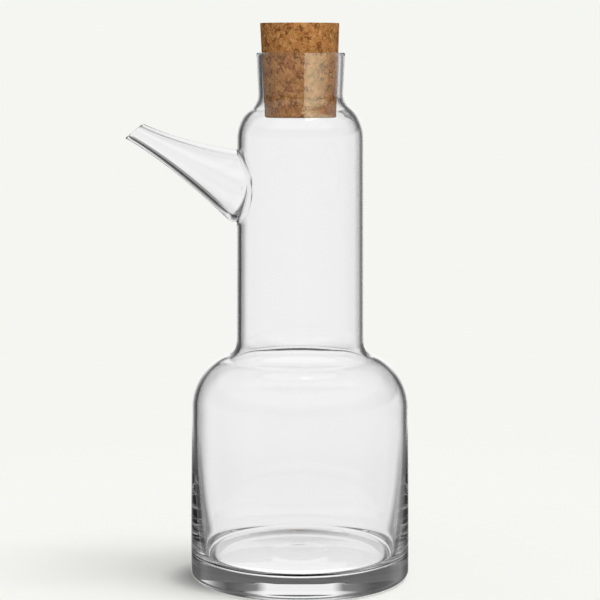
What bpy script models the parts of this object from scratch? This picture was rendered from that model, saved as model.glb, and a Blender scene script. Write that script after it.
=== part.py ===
"""Clear glass carafe with a flared side spout, closed by a cork stopper.

Metres, +Z up. The origin is the middle of the foot: Z = 0 is the plane the carafe stands on and
the Z axis is the axis of the turned glass. The spout points along -X.
"""

import math

import bmesh
import bpy
from mathutils import Vector

# Heights above the foot
GLASS_HEIGHT = 0.2635
NECK_SHOULDER_HEIGHT = 0.2211
BODY_SHOULDER_HEIGHT = 0.0868
FOOT_HEIGHT = 0.0200
FLOOR_HEIGHT = 0.0115

# Outer radii of the turned glass, whose neck and body widen a little on their way down
RIM_RADIUS = 0.0219
THROAT_RADIUS = 0.0210
NECK_TOP_RADIUS = 0.0314
NECK_FOOT_RADIUS = 0.0317
BODY_TOP_RADIUS = 0.0542
BODY_MIDDLE_RADIUS = 0.0548
FOOT_RADIUS = 0.0553

# The convex shoulders are quarter ellipses, given as (across, up)
NECK_SHOULDER_AXES = (0.0131, 0.0169)
BODY_SHOULDER_AXES = (0.0240, 0.0268)
THROAT_FILLET = 0.0090
NECK_FILLET = 0.0080
FOOT_CORNER = 0.0050

# Wall thickness, thin in the neck and thick at the foot
RIM_WALL = 0.0026
THROAT_WALL = 0.0022
NECK_WALL = 0.0022
BODY_WALL = 0.0023
THICKENING_HEIGHT = 0.0500
THICKENING_WALL = 0.0029
FLOOR_RADIUS = 0.0460
FLOOR_CORNER = 0.0030

# Spout: a trumpet fused on the neck. Its centreline runs from the tip to a point inside the neck,
# as (X, Z), and sags a little. Shares are parts of the way from tip to root.
SPOUT_TIP = (-0.0823, 0.2250)
SPOUT_ROOT = (-0.0140, 0.1914)
SPOUT_SAG = 0.0009
SPOUT_TIP_RADIUS = 0.0053
SPOUT_ROOT_RADIUS = 0.0244
SPOUT_FLARE = 1.6
SPOUT_TIP_WALL = 0.0016
SPOUT_ROOT_WALL = 0.0026
SPOUT_LIP_SHARE = 0.795
SPOUT_LIP_ROUND = 0.0035
SPOUT_OVERRUN = 0.0100
SPOUT_CUT_ANGLE = math.radians(39.2)

# Cork stopper: a tapered plug that stops short of the glass by a small clearance at the rim
CORK_TOP = 0.2780
CORK_BOTTOM = 0.2320
CORK_TOP_RADIUS = 0.0194
CORK_BOTTOM_RADIUS = 0.0176
CORK_TOP_ROUND = 0.0006
CORK_BOTTOM_ROUND = 0.0012

# How finely the round shapes are divided
TURN_STEPS = 56
CORK_STEPS = 40
SHOULDER_STEPS = 8
FILLET_STEPS = 4
SPOUT_SIDES = 32
TRUMPET_RINGS = 8
LIP_RINGS = 3
OUTSIDE_MARGIN = 0.004


def clear_scene():
    for obj in list(bpy.data.objects):
        bpy.data.objects.remove(obj, do_unlink=True)


def new_collection(name, hidden=False):
    collection = bpy.data.collections.new(name)
    collection.hide_render = hidden
    bpy.context.scene.collection.children.link(collection)
    return collection


def plain_material(name, colour, roughness, transmission=0.0, ior=1.5):
    material = bpy.data.materials.new(name)
    material.use_nodes = True
    shader = material.node_tree.nodes["Principled BSDF"]
    shader.inputs["Base Color"].default_value = (*colour, 1.0)
    shader.inputs["Roughness"].default_value = roughness
    shader.inputs["Metallic"].default_value = 0.0
    shader.inputs["Transmission Weight"].default_value = transmission
    shader.inputs["IOR"].default_value = ior
    return material


def ellipse_point(centre, axes, angle):
    return (centre[0] + axes[0] * math.cos(angle), centre[1] + axes[1] * math.sin(angle))


def arc(centre, axes, start, end, steps):
    """Points on an elliptical arc about centre, both ends included."""
    turn = (end - start) / steps
    return [ellipse_point(centre, axes, start + turn * i) for i in range(steps + 1)]


def ellipse_normal(axes, angle):
    """Direction, as an angle, of the outward normal of an ellipse."""
    return math.atan2(axes[0] * math.sin(angle), axes[1] * math.cos(angle))


def shoulder(column_radius, fillet, centre, axes):
    """A vertical wall that turns through a concave fillet into a convex quarter ellipse.

    The fillet circle touches both, which fixes where on the ellipse it ends.
    """
    low, high = 0.0, math.pi / 2
    for _ in range(60):
        angle = (low + high) / 2
        normal = ellipse_normal(axes, angle)
        reach = ellipse_point(centre, axes, angle)[0] + fillet * math.cos(normal)
        if reach > column_radius + fillet:
            low = angle
        else:
            high = angle
    touch = ellipse_point(centre, axes, angle)
    fillet_centre = (column_radius + fillet, touch[1] + fillet * math.sin(normal))
    concave = arc(fillet_centre, (fillet, fillet), math.pi, math.pi + normal, FILLET_STEPS)
    convex = arc(centre, axes, angle, 0.0, SHOULDER_STEPS)
    return concave + convex[1:]


def outer_profile():
    """Outline of the glass from the top of the axis, down its outer side, to the foot."""
    neck_centre = (NECK_TOP_RADIUS - NECK_SHOULDER_AXES[0], NECK_SHOULDER_HEIGHT)
    body_centre = (BODY_TOP_RADIUS - BODY_SHOULDER_AXES[0], BODY_SHOULDER_HEIGHT)
    points = [(0.0, GLASS_HEIGHT), (RIM_RADIUS, GLASS_HEIGHT)]
    points += shoulder(THROAT_RADIUS, THROAT_FILLET, neck_centre, NECK_SHOULDER_AXES)
    points += shoulder(NECK_FOOT_RADIUS, NECK_FILLET, body_centre, BODY_SHOULDER_AXES)
    points.append((BODY_MIDDLE_RADIUS, (BODY_SHOULDER_HEIGHT + FOOT_HEIGHT) / 2))
    points.append((FOOT_RADIUS, FOOT_HEIGHT))
    foot_centre = (FOOT_RADIUS - FOOT_CORNER, FOOT_CORNER)
    foot_axes = (FOOT_CORNER, FOOT_CORNER)
    points += arc(foot_centre, foot_axes, 0.0, -math.pi / 2, FILLET_STEPS + 1)
    points.append((0.0, 0.0))
    return points


def inner_profile():
    """Outline of the hollow, from above the rim down to the middle of the floor."""
    bore_radius = RIM_RADIUS - RIM_WALL
    throat_radius = THROAT_RADIUS - THROAT_WALL
    neck_radius = NECK_TOP_RADIUS - NECK_WALL
    neck_axes = (NECK_SHOULDER_AXES[0] - NECK_WALL, NECK_SHOULDER_AXES[1] - NECK_WALL)
    neck_centre = (neck_radius - neck_axes[0], NECK_SHOULDER_HEIGHT)
    neck_foot_radius = NECK_FOOT_RADIUS - NECK_WALL
    body_radius = BODY_TOP_RADIUS - BODY_WALL
    body_axes = (BODY_SHOULDER_AXES[0] - BODY_WALL, BODY_SHOULDER_AXES[1] - BODY_WALL)
    body_centre = (body_radius - body_axes[0], BODY_SHOULDER_HEIGHT)
    above_rim = GLASS_HEIGHT + OUTSIDE_MARGIN
    points = [(0.0, above_rim), (bore_radius, above_rim), (bore_radius, GLASS_HEIGHT)]
    points += shoulder(throat_radius, THROAT_FILLET + THROAT_WALL, neck_centre, neck_axes)
    points += shoulder(neck_foot_radius, NECK_FILLET + NECK_WALL, body_centre, body_axes)
    points.append((BODY_MIDDLE_RADIUS - THICKENING_WALL, THICKENING_HEIGHT))
    floor_centre = (FLOOR_RADIUS - FLOOR_CORNER, FLOOR_HEIGHT + FLOOR_CORNER)
    floor_axes = (FLOOR_CORNER, FLOOR_CORNER)
    points += arc(floor_centre, floor_axes, 0.0, -math.pi / 2, FILLET_STEPS)
    points.append((0.0, FLOOR_HEIGHT))
    return points


def cork_profile():
    """Outline of the stopper: a straight taper with its two edges rounded."""
    top = arc(
        (CORK_TOP_RADIUS - CORK_TOP_ROUND, CORK_TOP - CORK_TOP_ROUND),
        (CORK_TOP_ROUND, CORK_TOP_ROUND), math.pi / 2, 0.0, 2,
    )
    bottom = arc(
        (CORK_BOTTOM_RADIUS - CORK_BOTTOM_ROUND, CORK_BOTTOM + CORK_BOTTOM_ROUND),
        (CORK_BOTTOM_ROUND, CORK_BOTTOM_ROUND), 0.0, -math.pi / 2, 3,
    )
    return [(0.0, CORK_TOP)] + top + bottom + [(0.0, CORK_BOTTOM)]


def turned(name, profile, steps, collection):
    """A closed solid of revolution from a profile of (radius, height) that starts and ends on the axis."""
    mesh = bpy.data.meshes.new(name)
    edges = [(i, i + 1) for i in range(len(profile) - 1)]
    mesh.from_pydata([(radius, 0.0, height) for radius, height in profile], edges, [])
    obj = bpy.data.objects.new(name, mesh)
    collection.objects.link(obj)
    screw = obj.modifiers.new("turn", "SCREW")
    screw.steps = steps
    screw.render_steps = steps
    screw.use_merge_vertices = True
    screw.merge_threshold = 0.00001
    return obj


def spout_centre(share):
    """Point of the spout's centreline, at 0 on the tip and at 1 on the root."""
    x = SPOUT_TIP[0] + (SPOUT_ROOT[0] - SPOUT_TIP[0]) * share
    z = SPOUT_TIP[1] + (SPOUT_ROOT[1] - SPOUT_TIP[1]) * share
    return Vector((x, 0.0, z - 4.0 * SPOUT_SAG * share * (1.0 - share)))


def trumpet_radius(share):
    flare = max(share, 0.0) ** SPOUT_FLARE
    return SPOUT_TIP_RADIUS + (SPOUT_ROOT_RADIUS - SPOUT_TIP_RADIUS) * flare


def trumpet_rings():
    """Shares of the rings from the overrun beyond the tip down to the lip."""
    overrun = SPOUT_OVERRUN / math.dist(SPOUT_TIP, SPOUT_ROOT)
    return [-overrun] + [SPOUT_LIP_SHARE * i / TRUMPET_RINGS for i in range(TRUMPET_RINGS + 1)]


def lip_rings():
    """(share, radius) of the lip, where the flare turns in until the spout's underside is level."""
    length = math.dist(SPOUT_TIP, SPOUT_ROOT)
    start_radius = trumpet_radius(SPOUT_LIP_SHARE)
    flare_growth = (SPOUT_ROOT_RADIUS - SPOUT_TIP_RADIUS) / length
    start = math.atan(flare_growth * SPOUT_FLARE * SPOUT_LIP_SHARE ** (SPOUT_FLARE - 1.0))
    end = math.atan2(SPOUT_ROOT[1] - SPOUT_TIP[1], SPOUT_ROOT[0] - SPOUT_TIP[0])
    rings = []
    for i in range(1, LIP_RINGS + 1):
        slope = start + (end - start) * i / LIP_RINGS
        along = SPOUT_LIP_ROUND * (math.sin(start) - math.sin(slope))
        across = SPOUT_LIP_ROUND * (math.cos(slope) - math.cos(start))
        rings.append((SPOUT_LIP_SHARE + along / length, start_radius + across))
    share, radius = rings[-1]
    return rings + [(1.0, radius + (1.0 - share) * length * math.tan(end))]


def spout_outside_rings():
    """(share, radius) of the outer rings: the trumpet, then the lip that is fused on the neck."""
    return [(share, trumpet_radius(share)) for share in trumpet_rings()] + lip_rings()


def spout_hollow_rings():
    """(share, radius) of the hollow, which stops widening where the wall of the lip would run out."""
    widest = lip_rings()[LIP_RINGS - 1][1] - SPOUT_ROOT_WALL
    rings = []
    for share in trumpet_rings() + [1.0]:
        wall = SPOUT_TIP_WALL + (SPOUT_ROOT_WALL - SPOUT_TIP_WALL) * max(share, 0.0)
        rings.append((share, min(trumpet_radius(share) - wall, widest)))
    return rings


def spout_tube(name, rings, collection):
    """A closed solid round the spout's centreline, with the radius that each ring gives."""
    curve = bpy.data.curves.new(name, "CURVE")
    curve.dimensions = "3D"
    curve.bevel_depth = 1.0
    curve.bevel_resolution = SPOUT_SIDES // 2 - 2
    curve.use_fill_caps = True
    spline = curve.splines.new("POLY")
    spline.points.add(len(rings) - 1)
    for point, (share, radius) in zip(spline.points, rings):
        point.co = (*spout_centre(share), 1.0)
        point.radius = radius
    guide = bpy.data.objects.new(name + "_curve", curve)
    collection.objects.link(guide)
    bpy.context.view_layer.update()
    graph = bpy.context.evaluated_depsgraph_get()
    mesh = bpy.data.meshes.new_from_object(guide.evaluated_get(graph))
    bpy.data.objects.remove(guide)
    shell = bmesh.new()
    shell.from_mesh(mesh)
    bmesh.ops.remove_doubles(shell, verts=shell.verts, dist=0.00001)
    bmesh.ops.recalc_face_normals(shell, faces=shell.faces)
    shell.to_mesh(mesh)
    shell.free()
    obj = bpy.data.objects.new(name, mesh)
    collection.objects.link(obj)
    return obj


def tip_cutter(collection):
    """A block whose lower face is the slanting cut across the spout's tip."""
    size = 0.03
    mesh = bpy.data.meshes.new("tip_cutter")
    block = bmesh.new()
    bmesh.ops.create_cube(block, size=size)
    bmesh.ops.translate(block, verts=block.verts, vec=(0.0, 0.0, size / 2))
    block.to_mesh(mesh)
    block.free()
    obj = bpy.data.objects.new("tip_cutter", mesh)
    obj.location = (SPOUT_TIP[0], 0.0, SPOUT_TIP[1])
    obj.rotation_euler = (0.0, -SPOUT_CUT_ANGLE, 0.0)
    collection.objects.link(obj)
    return obj


def combine(obj, operation, other):
    step = obj.modifiers.new(other.name, "BOOLEAN")
    step.operation = operation
    step.solver = "EXACT"
    step.object = other
    other.hide_render = True
    other.display_type = "WIRE"


def finish(obj, material, sharp_angle):
    """Applies the modifiers, then shades the rounds smooth and keeps the cut edges sharp."""
    bpy.context.view_layer.update()
    graph = bpy.context.evaluated_depsgraph_get()
    mesh = bpy.data.meshes.new_from_object(obj.evaluated_get(graph))
    obj.modifiers.clear()
    obj.data = mesh
    mesh.name = obj.name
    mesh.materials.clear()
    mesh.materials.append(material)
    mesh.shade_smooth()
    mesh.set_sharp_from_angle(angle=sharp_angle)


def make_glass(parts, cutters):
    """Solid vessel and solid spout joined, then both hollows cut out of them and the tip cut off."""
    glass = turned("carafe_glass", outer_profile(), TURN_STEPS, parts)
    combine(glass, "UNION", spout_tube("spout_outside", spout_outside_rings(), cutters))
    combine(glass, "DIFFERENCE", turned("vessel_hollow", inner_profile(), TURN_STEPS, cutters))
    combine(glass, "DIFFERENCE", spout_tube("spout_hollow", spout_hollow_rings(), cutters))
    combine(glass, "DIFFERENCE", tip_cutter(cutters))
    clear_glass = plain_material("clear_glass", (0.97, 0.98, 0.98), 0.0, 1.0, 1.52)
    finish(glass, clear_glass, math.radians(35))


def make_cork(parts):
    cork = turned("cork_stopper", cork_profile(), CORK_STEPS, parts)
    pressed_cork = plain_material("pressed_cork", (0.36, 0.16, 0.05), 0.75)
    finish(cork, pressed_cork, math.radians(60))


def main():
    clear_scene()
    parts = new_collection("glass_carafe_with_side_spout")
    cutters = new_collection("cutters", hidden=True)
    make_glass(parts, cutters)
    make_cork(parts)


main()
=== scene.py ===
"""Clear glass carafe with a flared side spout and a stopper of pressed cork, on a pale table.

Metres, +Z up. The middle of the foot is the origin and the spout points along -X.
"""

import math

import bmesh
import bpy
import numpy as np
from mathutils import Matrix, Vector, noise


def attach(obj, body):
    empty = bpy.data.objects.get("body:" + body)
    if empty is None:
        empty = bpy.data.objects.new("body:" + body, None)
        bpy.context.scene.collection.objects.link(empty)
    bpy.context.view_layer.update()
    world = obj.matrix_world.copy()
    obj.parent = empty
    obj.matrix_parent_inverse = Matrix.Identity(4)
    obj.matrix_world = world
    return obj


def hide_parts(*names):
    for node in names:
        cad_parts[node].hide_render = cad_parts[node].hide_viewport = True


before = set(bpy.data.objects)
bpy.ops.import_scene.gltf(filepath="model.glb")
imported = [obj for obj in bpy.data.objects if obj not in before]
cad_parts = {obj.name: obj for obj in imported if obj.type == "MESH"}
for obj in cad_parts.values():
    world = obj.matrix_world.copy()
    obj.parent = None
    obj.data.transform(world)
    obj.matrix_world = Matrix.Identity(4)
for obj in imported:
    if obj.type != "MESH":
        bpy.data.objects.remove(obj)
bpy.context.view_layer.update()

# Heights of the glass above the foot
GLASS_HEIGHT = 0.2635
NECK_SHOULDER_HEIGHT = 0.2209
BODY_SHOULDER_HEIGHT = 0.0863
FLOOR_HEIGHT = 0.0108

# Outer radii of the turned glass, and how softly the body starts to widen below its shoulder
RIM_RADIUS = 0.0219
THROAT_RADIUS = 0.0210
NECK_TOP_RADIUS = 0.0314
NECK_FOOT_RADIUS = 0.0319
BODY_TOP_RADIUS = 0.0544
FOOT_RADIUS = 0.0553
BODY_EASE = 0.06

# Shoulders are quarter ellipses, given as (across, up), that run out of round fillets
NECK_SHOULDER_AXES = (0.0131, 0.0174)
BODY_SHOULDER_AXES = (0.0240, 0.0268)
THROAT_FILLET = 0.0090
NECK_FILLET = 0.0080
FOOT_CORNER = 0.0038
RIM_CORNER = 0.0005

# Thickness of the glass, which grows in the lower body by the thickening. The underside is a dome
# with a low round step, inside the ring that the carafe stands on.
RIM_WALL = 0.0026
THROAT_WALL = 0.0022
NECK_WALL = 0.0022
BODY_WALL = 0.0025
THICKENING_HEIGHT = 0.0780
THICKENING = 0.0052
FLOOR_CORNER = 0.0055
UNDERSIDE_RISE = 0.0009
UNDERSIDE_STEP = 0.0001
STEP_RADII = (0.0115, 0.0175)
STAND_WIDTH = 0.0035

# Spout: a trumpet round a centreline from the tip to a point in the neck, given as (X, Z).
# A share is a part of the way from tip to root. The joint with the neck is rounded by the two
# fuse lengths, outside and inside.
SPOUT_TIP = (-0.0823, 0.2250)
SPOUT_ROOT = (-0.0140, 0.1914)
SPOUT_SAG = 0.0009
SPOUT_TIP_RADIUS = 0.0053
SPOUT_ROOT_RADIUS = 0.0244
SPOUT_FLARE = 1.6
SPOUT_TIP_WALL = 0.0019
SPOUT_ROOT_WALL = 0.0030
SPOUT_HOLLOW_EASE = 0.0008
SPOUT_LIP_SHARE = 0.795
SPOUT_LIP_ROUND = 0.0035
SPOUT_CUT_ANGLE = math.radians(39.2)
SPOUT_FUSE = 0.0007
SPOUT_INNER_FUSE = 0.0036
SPOUT_TIP_ROUND = 0.0004

# How finely the glass is divided
TURN_STEPS = 168
ROW_HEIGHT = 0.0021
CORNER_STEPS = 14
SHOULDER_STEPS = 22
SMALL_CORNER_STEPS = 4
UNDERSIDE_STEPS = 48
MERGE_DISTANCE = 0.000002

# The spout leaves the neck inside a patch of these columns and rows. Its rings crowd towards the
# joint by the two powers, on the neck and on the spout.
SPOUT_COLUMNS = 44
SPOUT_ROWS = 32
SPOUT_PATCH_BOTTOM = 0.1740
SPOUT_PATCH_TOP = 0.2205
PATCH_RINGS = 8
TUBE_RINGS = 46
JOINT_STEPS = 9
PATCH_CROWDING = 1.4
TUBE_CROWDING = 1.35

# Where a line of the spout is searched for the neck's wall and for the cut, as a start and an end
# share and the number of samples
NECK_SEARCH = (0.35, 1.0, 2601)
CUT_SEARCH = (-0.3, 0.35, 1301)
TURN_SAMPLES = 721
PATH_SAMPLES = 120
TUBE_SAMPLES = 500

# The mouth sits a little to one side of the neck's axis
MOUTH_SHIFT = 0.00022
MOUTH_SHIFT_BOTTOM = 0.2220
MOUTH_SHIFT_TOP = 0.2400

# Stopper. Its lean is how far top and bottom lie beside the axis, and its end rings are shares of
# its radius.
CORK_TOP = 0.2780
CORK_BOTTOM = 0.2320
CORK_TOP_RADIUS = 0.01955
CORK_BOTTOM_RADIUS = 0.0177
CORK_TOP_CORNER = 0.0002
CORK_BOTTOM_CORNER = 0.0010
CORK_LEAN = (-0.00030, 0.00015)
CORK_RELIEF = 0.00007
CORK_CRUMBS = 900.0
CORK_FINE_CRUMBS = 2100.0
CORK_COLUMNS = 300
CORK_ROWS = 170
CORK_END_RINGS = (0.975, 0.93, 0.86, 0.78, 0.69, 0.60, 0.51, 0.42, 0.33, 0.24, 0.15, 0.07)
CORK_SHARP_EDGE = math.radians(40.0)

# Colour of the stopper. A scale is a number of features in a metre. A tone from dark to pale is
# mixed from granules, fine grain and wide patches, and a pair is where something starts and is
# full. Inside the mouth the stopper's colour is brightened as painted light, which stands in for
# the light that the glass keeps from it.
GRANULE_SCALE = 420.0
GRANULE_SHARE = 0.34
GRANULE_WANDER_SCALE = 620.0
GRANULE_WANDER = 0.0016
GRAIN_SCALE = 1100.0
GRAIN_SHARE = 1.25
PATCH_SCALE = 260.0
PATCH_SHARE = 0.30
TONE_DROP = 0.40
CRACK_EDGE = (0.17, 0.03)
CRACK_CLUSTER = (0.76, 0.64)
CRACK_DARKNESS = 0.70
BARK_SCALE = 700.0
BARK_FLECK = (0.63, 0.71)
BARK_IN_CLUSTER = 0.04
BARK_DARKNESS = 0.90
CRAG_STRENGTH = 0.35
CRAG_HEIGHT = 0.0003
CORK_ROUGHNESS = 0.85
CORK_SHINE = 0.08
CORK_OCHRES = (
    (0.0, (0.23, 0.095, 0.020)),
    (0.35, (0.40, 0.185, 0.050)),
    (0.65, (0.55, 0.275, 0.090)),
    (1.0, (0.76, 0.430, 0.170)),
)
CORK_RUSSETS = (
    (0.0, (0.22, 0.070, 0.016)),
    (0.35, (0.40, 0.150, 0.045)),
    (0.65, (0.54, 0.225, 0.075)),
    (1.0, (0.72, 0.350, 0.135)),
)
CORK_BARK = (0.100, 0.028, 0.004, 1.0)
# Painted light: heights over which the stopper's colour goes from the brightening inside the mouth to
# the plain colour above
CORK_PAINTED_LIGHT_SPAN = (0.2600, 0.2640)
CORK_PAINTED_LIGHT = (1.17, 0.98)

# Camera
CAMERA_PLACE = (0.0, -0.9816, 0.2635)
CAMERA_PITCH = math.radians(7.132)
CAMERA_ROLL = math.radians(-0.050)
CAMERA_YAW = math.radians(0.0085)
CAMERA_LENS = 118.56
SENSOR_WIDTH = 36.0

# Background and table, as linear brightness. A pair is the radii where the table, the bright patch
# under the foot or the contact shadow starts to fade and is gone.
BACKGROUND = (0.9130, 0.9216, 0.8796)
TABLE_RADIUS = 0.5
TABLE_DROP = 0.0001
TABLE_COLOUR = (0.700, 0.706, 0.674)
TABLE_GLOW = (0.40, 0.404, 0.385)
TABLE_FADE = (0.20, 0.42)
TABLE_PATCH = (0.0405, 0.0435)
TABLE_PATCH_GLOW = 1.15
# Painted shadow: the table's colour and glow are darkened round this place, beside the foot on the
# left
CONTACT_SHADOW_PLACE = (-0.030, -0.002, 0.0)
CONTACT_SHADOW = (0.020, 0.043)
CONTACT_SHADOW_DEPTH = 0.68

# Soft sun on the right, which throws the shadow to the left
SUN_STRENGTH = 1.3
SUN_SPREAD = math.radians(22.0)
SUN_HEIGHT = math.radians(71.0)
SUN_COMPASS = math.radians(103.0)

# The studio's light, which everything but the camera sees. Each row is a compass angle in degrees,
# 0 behind the carafe and 90 on its right, with the brightness round the horizon, just below it
# and on the ground. A bright backdrop hangs behind the carafe between two dark flags, with a
# window on the right. These angles and levels weren't designed by hand: they began as a
# least-squares fit of rendered light to the photo's tones, made by another program, and were then
# rounded, merged and changed by hand. The ceiling's levels further down began in the same fit.
STUDIO = (
    (-180.0, 0.38, 0.08, 0.60),
    (-145.0, 0.35, 0.08, 0.80),
    (-118.0, 0.36, 0.20, 0.75),
    (-100.0, 0.36, 0.20, 0.25),
    (-76.0, 0.28, 0.30, 0.15),
    (-61.0, 0.24, 0.65, 0.20),
    (-48.0, 0.10, 0.10, 0.02),
    (-30.0, 0.05, 0.08, 0.05),
    (-21.0, 0.20, 0.18, 0.40),
    (-15.5, 0.62, 0.22, 0.85),
    (-11.5, 0.96, 0.92, 0.93),
    (11.5, 0.96, 0.92, 0.93),
    (15.5, 0.62, 0.22, 0.85),
    (21.0, 0.04, 0.15, 0.40),
    (30.0, 0.15, 0.08, 0.05),
    (38.0, 0.40, 0.25, 0.02),
    (48.0, 0.90, 0.75, 0.35),
    (61.0, 0.76, 0.85, 0.60),
    (76.0, 0.45, 0.35, 0.15),
    (100.0, 0.35, 0.15, 0.20),
    (118.0, 0.33, 0.30, 0.65),
    (145.0, 0.32, 0.10, 0.75),
    (180.0, 0.38, 0.08, 0.60),
)

# Shares of the three by height in degrees above the horizon
HORIZON_SHARE = ((-90.0, 0.0), (-15.0, 0.0), (-11.5, 1.0), (5.5, 1.0), (7.0, 0.0), (90.0, 0.0))
BELOW_SHARE = ((-90.0, 0.0), (-27.0, 0.0), (-23.0, 1.0), (-15.0, 1.0), (-11.5, 0.0), (90.0, 0.0))
GROUND_SHARE = ((-90.0, 0.0), (-70.0, 0.0), (-63.0, 1.0), (-27.0, 1.0), (-23.0, 0.0), (90.0, 0.0))

# Light that comes evenly from all sides by height, dark just above the backdrop
CEILING = (
    (-90.0, 0.0),
    (5.5, 0.0),
    (7.0, 0.12),
    (22.0, 0.12),
    (30.0, 0.50),
    (52.0, 0.50),
    (60.0, 0.28),
    (90.0, 0.28),
)

# White card high behind the spout, as (X, Z) corners and its distance behind the carafe
REFLECTOR = ((-0.25, 0.29), (0.13, 1.15))
REFLECTOR_DEPTH = 0.80
REFLECTOR_BRIGHTNESS = 0.93

# Two small soft lamps stand close before and over the throat, to the right, and make the tall
# bright reflection on it. Their glow is given from the left edge to the right one, and was set
# until the reflection had the photo's tones across it.
THROAT_LAMP_DISTANCE = 0.0340
THROAT_LAMP_HEIGHTS = (0.2425, 0.2760)
RIM_LAMP_RADII = (0.0205, 0.0340)
LAMP_ANGLE = math.radians(35.0)
LAMP_HALF_ANGLE = math.radians(28.0)
THROAT_LAMP_BRIGHTNESS = 5.5
RIM_LAMP_BRIGHTNESS = 4.3
LAMP_TINT = (0.97, 0.96, 0.69, 1.0)
LAMP_GLOW = (
    (0.0, 0.76),
    (0.22, 1.0),
    (0.42, 0.82),
    (0.57, 0.62),
    (0.68, 0.47),
    (0.80, 0.27),
    (0.92, 0.05),
    (1.0, 0.0),
)

# A soft panel that lights the stopper from the front, placed from the stopper's top
PANEL_PLACE = (0.10, -0.76, 0.30)
PANEL_SIZE = 0.8
PANEL_POWER = 4.4


class Value:
    """A number that varies over a surface. Operators on it add Math nodes to its graph."""

    def __init__(self, graph, socket):
        self.graph = graph
        self.socket = socket

    def __add__(self, other):
        return self.graph.maths("ADD", self, other)

    __radd__ = __add__

    def __sub__(self, other):
        return self.graph.maths("SUBTRACT", self, other)

    def __rsub__(self, other):
        return self.graph.maths("SUBTRACT", other, self)

    def __mul__(self, other):
        return self.graph.maths("MULTIPLY", self, other)

    __rmul__ = __mul__

    def __truediv__(self, other):
        return self.graph.maths("DIVIDE", self, other)


class Graph:
    """The nodes of one material, of a lamp or of the world."""

    def __init__(self, owner):
        owner.use_nodes = True
        self.tree = owner.node_tree
        self.tree.nodes.clear()

    def node(self, kind, settings=None, sockets=None):
        """Adds a node: its settings first, then the value or the link of each socket."""
        made = self.tree.nodes.new(kind)
        for name, value in (settings or {}).items():
            if name == "stops":
                self.set_stops(made.color_ramp, value)
            else:
                setattr(made, name, value)
        for name, value in (sockets or {}).items():
            socket = made.inputs[name]
            if isinstance(value, Value):
                value = value.socket
            if isinstance(value, bpy.types.NodeSocket):
                self.tree.links.new(value, socket)
            else:
                socket.default_value = value
        return made

    def set_stops(self, ramp, stops):
        """Gives a colour ramp its stops, each a place and a colour."""
        while len(ramp.elements) > 1:
            ramp.elements.remove(ramp.elements[-1])
        ramp.elements[0].position = stops[0][0]
        for place, _ in stops[1:]:
            ramp.elements.new(place)
        for element, (_, colour) in zip(ramp.elements, stops):
            element.color = (*colour, 1.0)

    def maths(self, operation, *values):
        """A Math node on numbers and values."""
        made = self.node("ShaderNodeMath", {"operation": operation}, dict(enumerate(values)))
        return Value(self, made.outputs[0])

    def value(self, kind, output, settings=None, sockets=None):
        """One output of a new node, as a value for expressions."""
        return Value(self, self.node(kind, settings, sockets).outputs[output])

    def noise(self, place, scale, detail):
        """A smooth noise with so many features in a metre."""
        sockets = {"Vector": place, "Scale": scale, "Detail": detail}
        return self.value("ShaderNodeTexNoise", 0, None, sockets)

    def distance(self, place, point):
        """How far a place is from a fixed point."""
        sockets = {0: place, 1: point}
        return self.value("ShaderNodeVectorMath", "Value", {"operation": "DISTANCE"}, sockets)

    def mapped(self, value, span, result=(0.0, 1.0), interpolation="LINEAR"):
        """Goes from the result's first number to its second while the value crosses the span."""
        sockets = {
            "Value": value,
            "From Min": span[0],
            "From Max": span[1],
            "To Min": result[0],
            "To Max": result[1],
        }
        return self.value("ShaderNodeMapRange", 0, {"interpolation_type": interpolation}, sockets)

    def fade_out(self, distance, span):
        """One inside the span's start, nothing beyond its end."""
        return self.mapped(distance, span, (1.0, 0.0), "SMOOTHSTEP")

    def scaled(self, vector, factor):
        """A vector or a colour times a number."""
        sockets = {0: vector, "Scale": factor}
        return self.node("ShaderNodeVectorMath", {"operation": "SCALE"}, sockets).outputs[0]

    def mixed(self, factor, first, second):
        """The first colour where the factor is nothing, the second where it is one."""
        sockets = {0: factor, 6: first, 7: second}
        return self.node("ShaderNodeMix", {"data_type": "RGBA"}, sockets).outputs[2]

    def surface(self, shader, output="ShaderNodeOutputMaterial"):
        """Makes a shader the one that the material, the lamp or the world shows."""
        self.node(output, None, {"Surface": shader.outputs[0]})


def ellipse_point(centre, axes, angle):
    return (centre[0] + axes[0] * math.cos(angle), centre[1] + axes[1] * math.sin(angle))


def arc(centre, axes, start, end, steps):
    """Points on an elliptical arc about centre, both ends included."""
    turn = (end - start) / steps
    return [ellipse_point(centre, axes, start + turn * i) for i in range(steps + 1)]


def ellipse_normal(axes, angle):
    """Direction in which an ellipse faces where its angle is given."""
    return math.atan2(axes[0] * math.sin(angle), axes[1] * math.cos(angle))


def shoulder(column_radius, fillet, centre, axes):
    """A vertical wall that turns through a concave fillet into a convex quarter ellipse."""
    low, high = 0.0, math.pi / 2
    for _ in range(60):
        angle = (low + high) / 2
        normal = ellipse_normal(axes, angle)
        reach = ellipse_point(centre, axes, angle)[0] + fillet * math.cos(normal)
        if reach > column_radius + fillet:
            low = angle
        else:
            high = angle
    touch = ellipse_point(centre, axes, angle)
    fillet_centre = (column_radius + fillet, touch[1] + fillet * math.sin(normal))
    concave = arc(fillet_centre, (fillet, fillet), math.pi, math.pi + normal, CORNER_STEPS)
    convex = arc(centre, axes, angle, 0.0, SHOULDER_STEPS)
    return concave + convex[1:]


def filled(start, end, steps=None):
    """Points between start and end, without them, a row height apart."""
    steps = steps or max(1, round(math.dist(start, end) / ROW_HEIGHT))
    return [
        (start[0] + (end[0] - start[0]) * i / steps, start[1] + (end[1] - start[1]) * i / steps)
        for i in range(1, steps)
    ]


def joined(runs):
    """One profile out of several runs of points, with the straight gaps between them filled."""
    points = list(runs[0])
    for run in runs[1:]:
        points += filled(points[-1], run[0]) + list(run)
    return points


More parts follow.
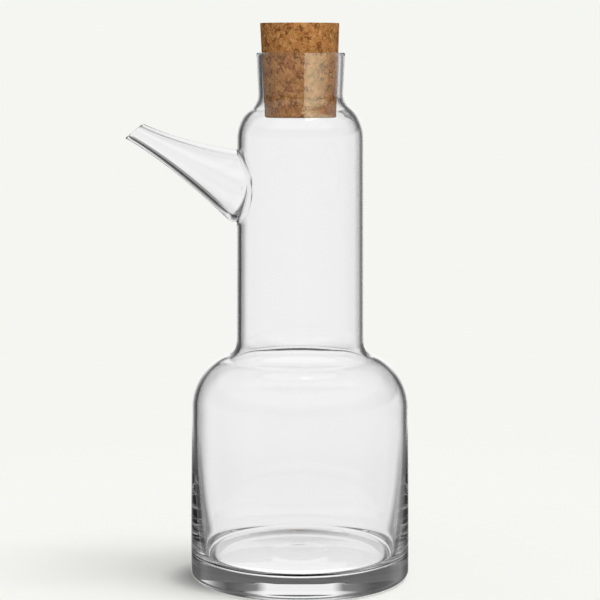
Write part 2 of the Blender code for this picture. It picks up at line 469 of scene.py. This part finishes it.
def neck_span(neck_foot, neck_top):
    """The rows of the patch that the spout takes out of the neck's straight wall."""
    ends = []
    for height in (SPOUT_PATCH_TOP, SPOUT_PATCH_BOTTOM):
        part = (height - neck_foot[1]) / (neck_top[1] - neck_foot[1])
        ends.append((neck_foot[0] + (neck_top[0] - neck_foot[0]) * part, height))
    return [ends[0]] + filled(ends[0], ends[1], SPOUT_ROWS) + [ends[1]]


def eased(start, end, part):
    """Goes from start to end without a kink at either."""
    return start + (end - start) * part * part * (3.0 - 2.0 * part)


def body_wall_radius(height):
    """Outside of the body, which widens below its shoulder and is nearly upright at the foot."""
    fall = math.hypot(1.0 - height / BODY_SHOULDER_HEIGHT, BODY_EASE) - BODY_EASE
    return FOOT_RADIUS - (FOOT_RADIUS - BODY_TOP_RADIUS) * (1.0 - fall) ** 2


def body_bore_radius(height):
    """Inside of the body, where the glass thickens towards the foot."""
    fall = max(THICKENING_HEIGHT - height, 0.0) / THICKENING_HEIGHT
    return body_wall_radius(height) - BODY_WALL - THICKENING * fall * fall


def body_run(radius_at, top, bottom):
    """Rows of the body's wall between two heights, without either."""
    steps = round((top - bottom) / ROW_HEIGHT)
    heights = [top + (bottom - top) * i / steps for i in range(1, steps)]
    return [(radius_at(height), height) for height in heights]


def underside_height(radius, stand):
    """A shallow dome inside the ring that the foot stands on, with a round step in its middle."""
    step = min(max((STEP_RADII[1] - radius) / (STEP_RADII[1] - STEP_RADII[0]), 0.0), 1.0)
    return UNDERSIDE_RISE * (1.0 - (radius / stand) ** 2) + eased(0.0, UNDERSIDE_STEP, step)


def outer_profile():
    """Outside of the glass, from the top of the rim to the middle of the underside."""
    neck_centre = (NECK_TOP_RADIUS - NECK_SHOULDER_AXES[0], NECK_SHOULDER_HEIGHT)
    body_centre = (BODY_TOP_RADIUS - BODY_SHOULDER_AXES[0], BODY_SHOULDER_HEIGHT)
    rim_centre = (RIM_RADIUS - RIM_CORNER, GLASS_HEIGHT - RIM_CORNER)
    rim = arc(rim_centre, (RIM_CORNER, RIM_CORNER), math.pi / 2, 0.0, SMALL_CORNER_STEPS)
    throat = shoulder(THROAT_RADIUS, THROAT_FILLET, neck_centre, NECK_SHOULDER_AXES)
    neck = shoulder(NECK_FOOT_RADIUS, NECK_FILLET, body_centre, BODY_SHOULDER_AXES)
    body = body_run(body_wall_radius, BODY_SHOULDER_HEIGHT, FOOT_CORNER)
    foot_centre = (FOOT_RADIUS - FOOT_CORNER, FOOT_CORNER)
    foot = arc(foot_centre, (FOOT_CORNER, FOOT_CORNER), 0.0, -math.pi / 2, CORNER_STEPS)
    stand = foot_centre[0] - STAND_WIDTH
    radii = [stand * (1.0 - i / UNDERSIDE_STEPS) for i in range(UNDERSIDE_STEPS + 1)]
    underside = [(radius, underside_height(radius, stand)) for radius in radii]
    patch = neck_span(neck[0], throat[-1])
    return joined([rim, throat, patch, neck, body, foot, underside])


def inner_profile():
    """Inside of the glass, from the top of the rim down to the middle of the floor."""
    bore_radius = RIM_RADIUS - RIM_WALL
    throat_radius = THROAT_RADIUS - THROAT_WALL
    neck_radius = NECK_TOP_RADIUS - NECK_WALL
    neck_axes = (NECK_SHOULDER_AXES[0] - NECK_WALL, NECK_SHOULDER_AXES[1] - NECK_WALL)
    neck_centre = (neck_radius - neck_axes[0], NECK_SHOULDER_HEIGHT)
    neck_foot_radius = NECK_FOOT_RADIUS - NECK_WALL
    body_radius = BODY_TOP_RADIUS - BODY_WALL
    body_axes = (BODY_SHOULDER_AXES[0] - BODY_WALL, BODY_SHOULDER_AXES[1] - BODY_WALL)
    body_centre = (body_radius - body_axes[0], BODY_SHOULDER_HEIGHT)
    rim_centre = (bore_radius + RIM_CORNER, GLASS_HEIGHT - RIM_CORNER)
    rim = arc(rim_centre, (RIM_CORNER, RIM_CORNER), math.pi / 2, math.pi, SMALL_CORNER_STEPS)
    throat = shoulder(throat_radius, THROAT_FILLET + THROAT_WALL, neck_centre, neck_axes)
    neck = shoulder(neck_foot_radius, NECK_FILLET + NECK_WALL, body_centre, body_axes)
    floor_top = FLOOR_HEIGHT + FLOOR_CORNER
    step = 0.0001
    lean = math.atan((body_bore_radius(floor_top + step) - body_bore_radius(floor_top)) / step)
    floor_centre = (body_bore_radius(floor_top) - FLOOR_CORNER / math.cos(lean), floor_top)
    floor_axes = (FLOOR_CORNER, FLOOR_CORNER)
    floor = arc(floor_centre, floor_axes, -lean, -math.pi / 2, CORNER_STEPS)
    body = body_run(body_bore_radius, BODY_SHOULDER_HEIGHT, floor[0][1])
    patch = neck_span(neck[0], throat[-1])
    return joined([rim, throat, patch, neck, body, floor, [(0.0, FLOOR_HEIGHT)]])


def row_at(profile, height):
    """Which point of a profile lies at a height that it is known to pass."""
    return next(i for i, point in enumerate(profile) if abs(point[1] - height) < 1e-9)


def turned_wall(shell, profile, first_column):
    """Turns a profile into faces, except where the spout goes through.

    The faces point away from the axis for a profile that runs downwards.
    """
    rows = []
    for radius, height in profile[:-1]:
        rows.append([shell.verts.new(turned_point(radius, height, k)) for k in range(TURN_STEPS)])
    last = shell.verts.new((0.0, 0.0, profile[-1][1]))
    patch = row_at(profile, SPOUT_PATCH_TOP)
    for i in range(len(rows) - 1):
        through = patch <= i < patch + SPOUT_ROWS
        for k in range(TURN_STEPS):
            if through and first_column <= k < first_column + SPOUT_COLUMNS:
                continue
            after = (k + 1) % TURN_STEPS
            shell.faces.new((rows[i][k], rows[i + 1][k], rows[i + 1][after], rows[i][after]))
    for k in range(TURN_STEPS):
        shell.faces.new((rows[-1][k], last, rows[-1][(k + 1) % TURN_STEPS]))


def turned_point(radius, height, column):
    """A profile's point on one of the columns round the axis."""
    angle = 2.0 * math.pi * column / TURN_STEPS
    return (radius * math.cos(angle), radius * math.sin(angle), height)


def wall_radius(wall, height):
    """Radius of the neck's straight wall, whose ends are (radius, height), at each height."""
    (low_radius, low), (high_radius, high) = wall
    return low_radius + (high_radius - low_radius) * (height - low) / (high - low)


def trumpet_radius(share):
    """The trumpet's radius where nothing turns its flare in."""
    flare = np.maximum(share, 0.0) ** SPOUT_FLARE
    return SPOUT_TIP_RADIUS + (SPOUT_ROOT_RADIUS - SPOUT_TIP_RADIUS) * flare


def lip_radius(share):
    """Radius of the outside, whose flare turns in at the lip until the underside is level."""
    length = math.dist(SPOUT_TIP, SPOUT_ROOT)
    growth = (SPOUT_ROOT_RADIUS - SPOUT_TIP_RADIUS) / length
    start = math.atan(growth * SPOUT_FLARE * SPOUT_LIP_SHARE ** (SPOUT_FLARE - 1.0))
    end = math.atan2(SPOUT_ROOT[1] - SPOUT_TIP[1], SPOUT_ROOT[0] - SPOUT_TIP[0])
    past_lip = (share - SPOUT_LIP_SHARE) * length
    arc_length = SPOUT_LIP_ROUND * (math.sin(start) - math.sin(end))
    on_arc = np.clip(past_lip, 0.0, arc_length)
    slope = np.arcsin(math.sin(start) - on_arc / SPOUT_LIP_ROUND)
    across = SPOUT_LIP_ROUND * (np.cos(slope) - math.cos(start))
    straight = np.maximum(past_lip - arc_length, 0.0) * math.tan(end)
    return trumpet_radius(np.minimum(share, SPOUT_LIP_SHARE)) + across + straight


def hollow_radius(share):
    """Radius of the hollow, which stops widening where the wall of the lip would run out."""
    wall = SPOUT_TIP_WALL + (SPOUT_ROOT_WALL - SPOUT_TIP_WALL) * np.maximum(share, 0.0)
    free = trumpet_radius(share) - wall
    widest = float(lip_radius(np.linspace(0.0, 1.0, 401)).max()) - SPOUT_ROOT_WALL
    over = (free - widest) / SPOUT_HOLLOW_EASE
    return widest - SPOUT_HOLLOW_EASE * np.logaddexp(0.0, -over)


def spout_point(share, turn, radius):
    """Points round the spout's centreline. turn is 0 on the upper side and grows towards -Y."""
    run = np.array((SPOUT_ROOT[0] - SPOUT_TIP[0], SPOUT_ROOT[1] - SPOUT_TIP[1]))
    centre_x = SPOUT_TIP[0] + run[0] * share
    centre_z = SPOUT_TIP[1] + run[1] * share - 4.0 * SPOUT_SAG * share * (1.0 - share)
    slope_z = run[1] - 4.0 * SPOUT_SAG * (1.0 - 2.0 * share)
    length = np.hypot(run[0], slope_z)
    up_x, up_z = -slope_z / length, run[0] / length
    return np.stack(
        (
            centre_x + radius * np.cos(turn) * up_x,
            -radius * np.sin(turn),
            centre_z + radius * np.cos(turn) * up_z,
        ),
        axis=-1,
    )


def first_crossing(share, level):
    """Share at which a level that starts above nothing first falls below it."""
    first = int(np.argmax(level < 0.0))
    part = level[first - 1] / (level[first - 1] - level[first])
    return share[first - 1] + (share[first] - share[first - 1]) * part


def wall_crossing(turn, radius_at, wall):
    """Share at which a line of the spout's surface meets a wall of the neck."""
    share = np.linspace(*NECK_SEARCH)
    points = spout_point(share, turn, radius_at(share))
    outside = np.hypot(points[:, 0], points[:, 1]) - wall_radius(wall, points[:, 2])
    return first_crossing(share, outside)


def cut_crossing(turn, radius_at):
    """Share at which a line of the spout's surface meets the slanting cut at the tip."""
    share = np.linspace(*CUT_SEARCH)
    points = spout_point(share, turn, radius_at(share))
    normal = np.array((-math.sin(SPOUT_CUT_ANGLE), 0.0, math.cos(SPOUT_CUT_ANGLE)))
    beyond = (points - np.array((SPOUT_TIP[0], 0.0, SPOUT_TIP[1]))) @ normal
    return first_crossing(share, beyond)


def along(path, distances):
    """Points at the given distances along a path."""
    steps = np.linalg.norm(np.diff(path, axis=0), axis=1)
    reached = np.concatenate(((0.0,), np.cumsum(steps)))
    return np.stack([np.interp(distances, reached, path[:, axis]) for axis in range(3)], axis=-1)


def path_length(path):
    return float(np.linalg.norm(np.diff(path, axis=0), axis=1).sum())


def bend(start, corner, end, steps):
    """A rounded corner, without its two ends."""
    part = (np.arange(1, steps) / steps)[:, None]
    return (1 - part) ** 2 * start + 2 * part * (1 - part) * corner + part ** 2 * end


def patch_path(border, meeting, wall):
    """Path over the neck's wall from the patch's border to where the spout meets it.

    Both ends are given as (angle, height).
    """
    part = np.linspace(0.0, 1.0, PATH_SAMPLES)
    angle = border[0] + (meeting[0] - border[0]) * part
    height = border[1] + (meeting[1] - border[1]) * part
    radius = wall_radius(wall, height)
    return np.stack((radius * np.cos(angle), radius * np.sin(angle), height), axis=-1)


def patch_border():
    """(angle, height) round the border of the patch, with the angle about the axis of the neck."""
    step = 2.0 * math.pi / TURN_STEPS
    half = SPOUT_COLUMNS // 2
    rise = (SPOUT_PATCH_TOP - SPOUT_PATCH_BOTTOM) / SPOUT_ROWS
    top = [(math.pi + step * (k - half), SPOUT_PATCH_TOP) for k in range(SPOUT_COLUMNS)]
    side = [(math.pi + step * half, SPOUT_PATCH_TOP - rise * k) for k in range(SPOUT_ROWS)]
    bottom = [(math.pi + step * (half - k), SPOUT_PATCH_BOTTOM) for k in range(SPOUT_COLUMNS)]
    back = [(math.pi - step * half, SPOUT_PATCH_BOTTOM + rise * k) for k in range(SPOUT_ROWS)]
    return top + side + bottom + back


def meeting_lines(border, wall):
    """Which line of the spout, given by its turn, runs into each point of the patch's border.

    A line and a point belong together where both have the same bearing from the patch's middle.
    """
    turns = np.linspace(-math.pi, math.pi, TURN_SAMPLES)
    middle = (SPOUT_PATCH_TOP + SPOUT_PATCH_BOTTOM) / 2.0
    bearings = []
    for turn in turns:
        share = wall_crossing(turn, lip_radius, wall)
        point = spout_point(share, turn, lip_radius(share))
        bearings.append(math.atan2(-point[1], point[2] - middle))
    found = []
    for angle, height in border:
        across = wall_radius(wall, height) * (angle - math.pi)
        found.append(np.interp(math.atan2(across, height - middle), bearings, turns))
    return found


def surface_angle(point):
    """Angle of a point about the axis of the neck, between 0 and a whole turn."""
    return math.atan2(point[1], point[0]) % (2.0 * math.pi)


def half_wall(border_point, turn, radius_at, wall, fuse):
    """Points over one side of the glass from the patch's border to the tip, and the tip itself."""
    meet = wall_crossing(turn, radius_at, wall)
    cut = cut_crossing(turn, radius_at)
    corner = spout_point(meet, turn, radius_at(meet))
    tip = spout_point(cut, turn, radius_at(cut))
    flat = patch_path(border_point, (surface_angle(corner), corner[2]), wall)
    share = np.linspace(meet, cut, TUBE_SAMPLES)
    tube = spout_point(share, turn, radius_at(share))
    flat_run = path_length(flat) - fuse
    tube_run = path_length(tube) - SPOUT_TIP_ROUND
    part = np.linspace(0.0, 1.0, PATCH_RINGS)
    on_flat = along(flat, flat_run * (1.0 - (1.0 - part) ** PATCH_CROWDING))
    part = np.linspace(0.0, 1.0, TUBE_RINGS)
    on_tube = along(tube, fuse + (tube_run - fuse) * part ** TUBE_CROWDING)
    joint = bend(on_flat[-1], corner, on_tube[0], JOINT_STEPS)
    return np.concatenate((on_flat, joint, on_tube)), tip


def spout_strip(border_point, turn, outer_wall, inner_wall):
    """Points over the whole wall of the spout along one line: out, round the tip and in again."""
    outside, outer_tip = half_wall(border_point, turn, lip_radius, outer_wall, SPOUT_FUSE)
    inside, inner_tip = half_wall(border_point, turn, hollow_radius, inner_wall, SPOUT_INNER_FUSE)
    across = (inner_tip - outer_tip) / np.linalg.norm(inner_tip - outer_tip)
    first = outer_tip + across * SPOUT_TIP_ROUND
    last = inner_tip - across * SPOUT_TIP_ROUND
    outer_bend = bend(outside[-1], outer_tip, first, SMALL_CORNER_STEPS)
    inner_bend = bend(last, inner_tip, inside[-1], SMALL_CORNER_STEPS)
    face = [first, (first + last) / 2.0, last]
    return np.concatenate((outside, outer_bend, face, inner_bend, inside[::-1]))


def add_spout(shell, outer_wall, inner_wall):
    """Fills the patch with the spout's wall, out of a strip for each point of its border."""
    border = patch_border()
    turns = meeting_lines(border, outer_wall)
    strips = []
    for place, turn in zip(border, turns):
        points = spout_strip(place, turn, outer_wall, inner_wall)
        strips.append([shell.verts.new(point) for point in points])
    for this, after in zip(strips, strips[1:] + strips[:1]):
        for k in range(len(this) - 1):
            shell.faces.new((this[k], after[k], after[k + 1], this[k + 1]))


def straight_wall(profile):
    """The two ends (radius, height) of the patch's stretch of a profile, the lower one first."""
    return [profile[row_at(profile, height)] for height in (SPOUT_PATCH_BOTTOM, SPOUT_PATCH_TOP)]


def make_object(name, shell):
    """Puts a shell of faces into the scene as an object."""
    mesh = bpy.data.meshes.new(name)
    shell.to_mesh(mesh)
    shell.free()
    made = bpy.data.objects.new(name, mesh)
    bpy.context.scene.collection.objects.link(made)
    return made


def make_glass():
    """The carafe: its outer and inner walls, the rim between them and the spout."""
    outer = outer_profile()
    inner = inner_profile()
    shell = bmesh.new()
    first_column = TURN_STEPS // 2 - SPOUT_COLUMNS // 2
    turned_wall(shell, outer, first_column)
    turned_wall(shell, inner, first_column)
    add_rim(shell, outer[0], inner[0])
    add_spout(shell, straight_wall(outer), straight_wall(inner))
    bmesh.ops.remove_doubles(shell, verts=shell.verts, dist=MERGE_DISTANCE)
    bmesh.ops.recalc_face_normals(shell, faces=shell.faces)
    shift_mouth(shell)
    glass = make_object("glass_vessel", shell)
    glass.data.shade_smooth()
    glass.data.materials.append(clear_glass())
    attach(glass, "root")
    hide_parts("carafe_glass")
    return glass


def shift_mouth(shell):
    """Moves the mouth to the side by degrees, and leaves the spout where it is."""
    for vertex in shell.verts:
        part = (vertex.co.z - MOUTH_SHIFT_BOTTOM) / (MOUTH_SHIFT_TOP - MOUTH_SHIFT_BOTTOM)
        if part > 0.0 and vertex.co.x > SPOUT_TIP[0] / 2:
            vertex.co.x += eased(0.0, MOUTH_SHIFT, min(part, 1.0))


def add_rim(shell, outer_top, inner_top):
    """The flat ring on top of the rim."""
    for k in range(TURN_STEPS):
        after = k + 1
        corners = (
            turned_point(*outer_top, k),
            turned_point(*outer_top, after),
            turned_point(*inner_top, after),
            turned_point(*inner_top, k),
        )
        shell.faces.new([shell.verts.new(corner) for corner in corners])


def clear_glass():
    """Clean clear glass without a tint."""
    material = bpy.data.materials.new("clear_glass")
    graph = Graph(material)
    shader = graph.node(
        "ShaderNodeBsdfPrincipled",
        None,
        {
            "Base Color": (1.0, 1.0, 1.0, 1.0),
            "Roughness": 0.0,
            "IOR": 1.5,
            "Transmission Weight": 1.0,
        },
    )
    graph.surface(shader)
    return material


def cork_radius(angle, level):
    """Radius of the stopper, which tapers, has a worn lower edge and is rough with granules."""
    down = (CORK_TOP - level) / (CORK_TOP - CORK_BOTTOM)
    radius = CORK_TOP_RADIUS + (CORK_BOTTOM_RADIUS - CORK_TOP_RADIUS) * down
    for end, corner in ((CORK_BOTTOM, CORK_BOTTOM_CORNER), (CORK_TOP, CORK_TOP_CORNER)):
        edge = abs(level - end)
        if edge < corner:
            radius -= corner - math.sqrt(max(corner ** 2 - (corner - edge) ** 2, 0.0))
    place = Vector((math.cos(angle) * radius, math.sin(angle) * radius, level))
    crumb = noise.noise(place * CORK_CRUMBS) + 0.5 * noise.noise(place * CORK_FINE_CRUMBS)
    return radius - CORK_RELIEF * max(1.0 + crumb, 0.0)


def make_cork():
    """The stopper: a tapered plug of pressed granules that leans a little in the mouth."""
    shell = bmesh.new()
    sides = []
    for i in range(CORK_ROWS + 1):
        down = i / CORK_ROWS
        level = CORK_TOP + (CORK_BOTTOM - CORK_TOP) * down
        shift = CORK_LEAN[0] + (CORK_LEAN[1] - CORK_LEAN[0]) * down
        ring = []
        for k in range(CORK_COLUMNS):
            angle = 2.0 * math.pi * k / CORK_COLUMNS
            radius = cork_radius(angle, level)
            x = radius * math.cos(angle) + shift
            ring.append(shell.verts.new((x, radius * math.sin(angle), level)))
        sides.append(ring)
    for upper, lower in zip(sides, sides[1:]):
        for k in range(CORK_COLUMNS):
            after = (k + 1) % CORK_COLUMNS
            shell.faces.new((upper[k], lower[k], lower[after], upper[after]))
    add_cork_end(shell, sides[0], CORK_LEAN[0], -1.0)
    add_cork_end(shell, sides[-1], CORK_LEAN[1], 1.0)
    bmesh.ops.recalc_face_normals(shell, faces=shell.faces)
    cork = make_object("cork_plug", shell)
    cork.data.shade_smooth()
    cork.data.set_sharp_from_angle(angle=CORK_SHARP_EDGE)
    cork.data.materials.append(pressed_cork())
    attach(cork, "root")
    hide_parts("cork_stopper")
    return cork


def add_cork_end(shell, edge, shift, inward):
    """Closes an end of the plug with rings of shallow crumbs. inward is 1 where inside is up."""
    count = len(edge)
    height = edge[0].co.z
    outer = edge
    for share in CORK_END_RINGS:
        ring = []
        for k in range(count):
            x = (edge[k].co.x - shift) * share + shift
            y = edge[k].co.y * share
            crumb = 1.0 + noise.noise(Vector((x, y, height)) * CORK_CRUMBS)
            ring.append(shell.verts.new((x, y, height + inward * CORK_RELIEF * max(crumb, 0.0))))
        for k in range(count):
            after = (k + 1) % count
            shell.faces.new((outer[k], outer[after], ring[after], ring[k]))
        outer = ring
    middle = shell.verts.new((shift, 0.0, height + inward * CORK_RELIEF))
    for k in range(count):
        shell.faces.new((outer[k], outer[(k + 1) % count], middle))


def pressed_cork():
    """Ochre and russet granules, with dark cracks between them and flecks of bark in clusters."""
    material = bpy.data.materials.new("pressed_cork")
    graph = Graph(material)
    place = graph.node("ShaderNodeTexCoord").outputs["Object"]
    sockets = {"Vector": place, "Scale": GRANULE_WANDER_SCALE, "Detail": 3.0}
    wander = graph.node("ShaderNodeTexNoise", None, sockets).outputs["Color"]
    sockets = {0: place, 1: graph.scaled(wander, GRANULE_WANDER)}
    uneven = graph.node("ShaderNodeVectorMath", {"operation": "ADD"}, sockets).outputs[0]
    sockets = {"Vector": uneven, "Scale": GRANULE_SCALE}
    granules = graph.node("ShaderNodeTexVoronoi", None, sockets).outputs["Color"]
    to_edge = {"feature": "DISTANCE_TO_EDGE"}
    edges = graph.value("ShaderNodeTexVoronoi", "Distance", to_edge, sockets)
    picks = graph.node("ShaderNodeSeparateColor", None, {"Color": granules})
    pick = Value(graph, picks.outputs[0])
    grain = graph.noise(uneven, GRAIN_SCALE, 4.0)
    patches = graph.noise(place, PATCH_SCALE, 1.0)
    tone = pick * GRANULE_SHARE + grain * GRAIN_SHARE + patches * PATCH_SHARE - TONE_DROP
    ochre = graph.node("ShaderNodeValToRGB", {"stops": CORK_OCHRES}, {"Fac": tone})
    russet = graph.node("ShaderNodeValToRGB", {"stops": CORK_RUSSETS}, {"Fac": tone})
    clean = graph.mixed(picks.outputs[1], ochre.outputs["Color"], russet.outputs["Color"])
    crack = graph.mapped(edges, CRACK_EDGE)
    cluster = graph.mapped(patches + grain * 0.5, CRACK_CLUSTER)
    bark = graph.noise(uneven, BARK_SCALE, 4.0)
    fleck = graph.mapped(bark + cluster * BARK_IN_CLUSTER, BARK_FLECK)
    dark = graph.maths("MAXIMUM", crack * cluster * CRACK_DARKNESS, fleck * BARK_DARKNESS)
    colour = graph.mixed(dark, clean, CORK_BARK)
    height = graph.value("ShaderNodeSeparateXYZ", "Z", None, {"Vector": place})
    # Painted light: the stopper's colour is brightened inside the mouth, in place of light that the
    # glass keeps from it
    painted_light = graph.mapped(height, CORK_PAINTED_LIGHT_SPAN, CORK_PAINTED_LIGHT)
    crags = {"Strength": CRAG_STRENGTH, "Distance": CRAG_HEIGHT, "Height": tone - dark}
    shader = graph.node(
        "ShaderNodeBsdfPrincipled",
        None,
        {
            "Base Color": graph.scaled(colour, painted_light),
            "Roughness": CORK_ROUGHNESS,
            "Specular IOR Level": CORK_SHINE,
            "Normal": graph.node("ShaderNodeBump", None, crags).outputs[0],
        },
    )
    graph.surface(shader)
    return material


def grey(level):
    """A colour without a tint."""
    return (level, level, level)


def ramp_over(graph, value, stops):
    """The brightness at a value, through stops that give a value and its brightness."""
    first, last = stops[0][0], stops[-1][0]
    places = [((where - first) / (last - first), grey(level)) for where, level in stops]
    share = (value - first) / (last - first)
    return graph.value("ShaderNodeValToRGB", "Color", {"stops": places}, {"Fac": share})


def make_world():
    """A plain background for the camera, and the studio's light for everything else."""
    world = bpy.data.worlds.new("studio")
    bpy.context.scene.world = world
    graph = Graph(world)
    direction = graph.node("ShaderNodeTexCoord").outputs["Generated"]
    parts = graph.node("ShaderNodeSeparateXYZ", None, {"Vector": direction})
    compass = graph.maths("ARCTAN2", parts.outputs["X"], parts.outputs["Y"]) * math.degrees(1.0)
    height = graph.maths("ARCSINE", parts.outputs["Z"]) * math.degrees(1.0)
    light = ramp_over(graph, height, CEILING)
    for column, share in enumerate((HORIZON_SHARE, BELOW_SHARE, GROUND_SHARE), 1):
        stops = [(row[0], row[column]) for row in STUDIO]
        light = light + ramp_over(graph, compass, stops) * ramp_over(graph, height, share)
    room = graph.node("ShaderNodeBackground", None, {"Color": light})
    plain = graph.node("ShaderNodeBackground", None, {"Color": (*BACKGROUND, 1.0)})
    seen = graph.node("ShaderNodeLightPath").outputs["Is Camera Ray"]
    sockets = {0: seen, 1: room.outputs[0], 2: plain.outputs[0]}
    graph.surface(graph.node("ShaderNodeMixShader", None, sockets), "ShaderNodeOutputWorld")


def make_floor():
    """A disc of the table's colour that fades into the background.

    All but the camera see only the bright patch under the foot, and past it the studio's ground.
    """
    shell = bmesh.new()
    bmesh.ops.create_circle(shell, cap_ends=True, radius=TABLE_RADIUS, segments=96)
    bmesh.ops.translate(shell, verts=shell.verts, vec=(0.0, 0.0, -TABLE_DROP))
    table = make_object("table_top", shell)
    material = bpy.data.materials.new("pale_table")
    graph = Graph(material)
    place = graph.node("ShaderNodeTexCoord").outputs["Object"]
    seen = graph.value("ShaderNodeLightPath", "Is Camera Ray")
    distance = graph.distance(place, (0.0, 0.0, 0.0))
    wide = graph.fade_out(distance, TABLE_FADE)
    patch = graph.fade_out(distance, TABLE_PATCH)
    # Painted contact shadow: the table's colour and glow are darkened near the foot's left side
    beside = graph.distance(place, CONTACT_SHADOW_PLACE)
    painted_shadow_factor = 1.0 - CONTACT_SHADOW_DEPTH * graph.fade_out(beside, CONTACT_SHADOW)
    glow = graph.scaled(TABLE_GLOW, painted_shadow_factor)
    shader = graph.node(
        "ShaderNodeBsdfPrincipled",
        None,
        {
            "Base Color": graph.scaled(TABLE_COLOUR, seen * painted_shadow_factor),
            "Roughness": 1.0,
            "Specular IOR Level": 0.0,
            "Emission Color": graph.mixed(seen, (*grey(TABLE_PATCH_GLOW), 1.0), glow),
            "Emission Strength": 1.0,
            "Alpha": seen * wide + (1.0 - seen) * patch,
        },
    )
    graph.surface(shader)
    table.data.materials.append(material)


def make_reflector():
    """A white card high behind the spout, which brightens the top of the spout's glass.

    Neither the camera nor the table sees it.
    """
    shell = bmesh.new()
    low, high = REFLECTOR
    corners = ((low[0], low[1]), (high[0], low[1]), (high[0], high[1]), (low[0], high[1]))
    shell.faces.new([shell.verts.new((x, REFLECTOR_DEPTH, z)) for x, z in corners])
    card = make_object("reflector_card", shell)
    card.visible_camera = False
    card.visible_shadow = False
    card.visible_diffuse = False
    material = bpy.data.materials.new("white_card")
    graph = Graph(material)
    colour = (*grey(REFLECTOR_BRIGHTNESS), 1.0)
    graph.surface(graph.node("ShaderNodeEmission", None, {"Color": colour}))
    material.cycles.emission_sampling = "NONE"
    card.data.materials.append(material)


def add_light(light, place, turn):
    """Hangs a light in the scene."""
    lamp = bpy.data.objects.new(light.name, light)
    lamp.location = place
    lamp.rotation_euler = turn
    bpy.context.scene.collection.objects.link(lamp)
    return lamp


def lit_only(name, piece):
    """A collection for light linking that holds one piece."""
    lit = bpy.data.collections.new(name)
    lit.objects.link(piece)
    return lit


def add_throat_lamp(name, brightness, distance, height, depth, tilt, lit):
    """A lamp by the throat. Only the glass is lit by it, and only by its first reflection."""
    width = 2.0 * distance * math.tan(LAMP_HALF_ANGLE)
    light = bpy.data.lights.new(name, "AREA")
    light.shape = "RECTANGLE"
    light.size = width
    light.size_y = depth
    light.energy = brightness * math.pi * width * depth
    light.cycles.max_bounces = 1
    graph = Graph(light)
    place = graph.node("ShaderNodeNewGeometry").outputs["Parametric"]
    across = graph.value("ShaderNodeSeparateXYZ", "X", None, {"Vector": place})
    sockets = {"Color": LAMP_TINT, "Strength": ramp_over(graph, across, LAMP_GLOW)}
    graph.surface(graph.node("ShaderNodeEmission", None, sockets), "ShaderNodeOutputLight")
    place = (distance * math.sin(LAMP_ANGLE), -distance * math.cos(LAMP_ANGLE), height)
    lamp = add_light(light, place, (tilt, 0.0, LAMP_ANGLE))
    lamp.visible_camera = False
    lamp.visible_diffuse = False
    lamp.visible_transmission = False
    lamp.light_linking.receiver_collection = lit


def make_throat_lamps(glass):
    """An upright lamp before the throat, and a flat one that carries its light over the rim."""
    lit = lit_only("lit_by_throat_lamps", glass)
    low, high = THROAT_LAMP_HEIGHTS
    near, far = RIM_LAMP_RADII
    middle = (low + high) / 2.0
    reach = (near + far) / 2.0
    upright = math.pi / 2.0
    distance = THROAT_LAMP_DISTANCE
    add_throat_lamp("throat_lamp", THROAT_LAMP_BRIGHTNESS, distance, middle, high - low, upright, lit)
    add_throat_lamp("rim_lamp", RIM_LAMP_BRIGHTNESS, reach, high, far - near, 0.0, lit)


def make_window_light():
    """The soft sun that throws the shadow on the table."""
    sun = bpy.data.lights.new("window_light", "SUN")
    sun.energy = SUN_STRENGTH
    sun.angle = SUN_SPREAD
    sun.cycles.use_multiple_importance_sampling = False
    add_light(sun, (0.0, 0.0, 0.0), (math.pi / 2.0 - SUN_HEIGHT, 0.0, math.pi - SUN_COMPASS))


def make_front_panel(cork):
    """The panel that lights the stopper. The glass neither shows it nor shades it."""
    panel = bpy.data.lights.new("front_panel", "AREA")
    panel.size = PANEL_SIZE
    panel.energy = PANEL_POWER
    turn = Vector(PANEL_PLACE).to_track_quat("Z", "Y").to_euler()
    lamp = add_light(panel, Vector((0.0, 0.0, CORK_TOP)) + Vector(PANEL_PLACE), turn)
    lamp.visible_glossy = False
    lamp.visible_transmission = False
    lit = lit_only("lit_by_front_panel", cork)
    lamp.light_linking.receiver_collection = lit
    lamp.light_linking.blocker_collection = lit


def make_camera():
    """The photograph's view, from a little above and straight at the spout's side."""
    data = bpy.data.cameras.new("camera")
    data.lens = CAMERA_LENS
    data.sensor_width = SENSOR_WIDTH
    data.clip_start = 0.05
    data.clip_end = 20.0
    camera = bpy.data.objects.new("camera", data)
    camera.location = CAMERA_PLACE
    camera.rotation_euler = (math.pi / 2.0 - CAMERA_PITCH, CAMERA_ROLL, CAMERA_YAW)
    bpy.context.scene.collection.objects.link(camera)
    bpy.context.scene.camera = camera


bpy.context.scene.view_settings.view_transform = "Standard"

# Light has to pass many walls of glass
bpy.context.scene.cycles.max_bounces = 32
bpy.context.scene.cycles.transmission_bounces = 32
bpy.context.scene.cycles.glossy_bounces = 16
bpy.context.scene.cycles.transparent_max_bounces = 16

make_camera()
glass = make_glass()
cork = make_cork()
make_floor()
make_reflector()
make_throat_lamps(glass)
make_window_light()
make_front_panel(cork)
make_world()
